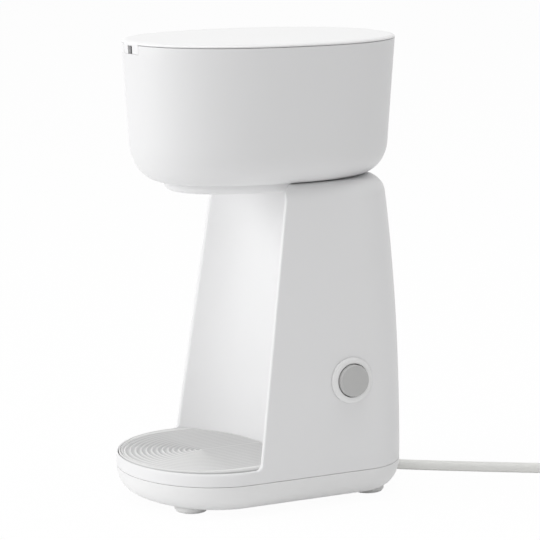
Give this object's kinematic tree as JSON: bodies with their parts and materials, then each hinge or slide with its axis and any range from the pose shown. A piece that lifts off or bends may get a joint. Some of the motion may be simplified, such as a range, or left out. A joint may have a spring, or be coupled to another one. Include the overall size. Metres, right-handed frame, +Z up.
{
  "type": "single-cup coffee maker",
  "caption": "Tall white coffee maker with an oval water tank head over a grooved drip tray, a push button on the side and a mains cord.",
  "frame": {"origin": "on the table, under the middle of the machine's box without the cord", "axes": "+Z up, -Y towards the user and the cup, +X to the side with the button"},
  "size_m": [0.1886, 0.3808, 0.2874],
  "materials": {
    "white_plastic": "fine satin moulding",
    "tray_grey": "satin",
    "button_grey": "satin",
    "clear_plastic": "translucent",
    "dark_plastic": "satin",
    "inner_white": "satin",
    "foot_rubber": "matt",
    "silicone": "satin",
    "steel": "plain",
    "aluminium": "cast",
    "brass": "plain",
    "cord_sheath": "satin",
    "wire_dark": "satin",
    "wire_light": "satin"
  },
  "bodies": {
    "machine": {"main_housing": "white_plastic", "base_cover": "white_plastic", "head_shell": "white_plastic", "outlet_shroud": "white_plastic", "button_bezel": "white_plastic", "head_insert": "clear_plastic", "drip_spout": "clear_plastic", "check_valve_body": "clear_plastic", "thermostat": "dark_plastic", "switch_body": "dark_plastic", "cord_tie": "dark_plastic", "terminal_block": "inner_white", "thermal_fuse_left": "inner_white", "thermal_fuse_right": "inner_white", "front_left_foot": "foot_rubber", "front_right_foot": "foot_rubber", "back_left_foot": "foot_rubber", "back_right_foot": "foot_rubber", "feed_hose": "silicone", "inlet_hose": "silicone", "riser_tube": "silicone", "cover_screw_1": "steel", "cover_screw_2": "steel", "cover_screw_3": "steel", "cover_screw_4": "steel", "head_screw_1": "steel", "head_screw_2": "steel", "hose_clamp_1": "steel", "hose_clamp_2": "steel", "hose_clamp_3": "steel", "hose_clamp_4": "steel", "hose_clamp_5": "steel", "heating_element": "steel", "heater_bracket": "steel", "bracket_screw_1": "steel", "bracket_screw_2": "steel", "thermostat_clip": "steel", "button_spring": "steel", "plug_pin_left": "steel", "plug_pin_right": "steel", "heater_body": "aluminium", "switch_tab_1": "brass", "switch_tab_2": "brass", "cord_tail": "cord_sheath", "strain_relief": "cord_sheath", "power_cord": "cord_sheath", "cord_coil": "cord_sheath", "plug_body": "cord_sheath", "line_wire": "wire_dark", "switch_wire": "wire_dark", "neutral_wire": "wire_light"},
    "lid": {"lid": "white_plastic", "lid_channel": "clear_plastic", "shower_plate": "clear_plastic"},
    "basket": {"filter_basket": "dark_plastic", "filter_mesh": "steel"},
    "tray": {"drip_tray": "tray_grey"},
    "button": {"button_cap": "button_grey", "switch_plunger": "inner_white"},
    "ball": {"valve_ball": "steel"}
  },
  "joints": [
    {"name": "lid_lift", "type": "slide", "parent": "machine", "child": "lid", "axis": [0, 0, 1], "range_m": [0, 0.12]},
    {"name": "basket_lift", "type": "slide", "parent": "machine", "child": "basket", "axis": [0, 0, 1], "range_m": [0, 0.06]},
    {"name": "tray_lift", "type": "slide", "parent": "machine", "child": "tray", "axis": [0, 0, 1], "range_m": [0, 0.006]},
    {"name": "button_press", "type": "slide", "parent": "machine", "child": "button", "axis": [-0.9983, 0, -0.0575], "range_m": [0, 0.0025], "stiffness_N_per_m": 400, "springref_m": -0.001},
    {"name": "valve_ball_lift", "type": "slide", "parent": "machine", "child": "ball", "axis": [0, 0, 1], "range_m": [0, 0.002]}
  ],
  "couplings": [
    {"joint": "basket_lift", "follows": "lid_lift", "ratio": 0.5}
  ]
}
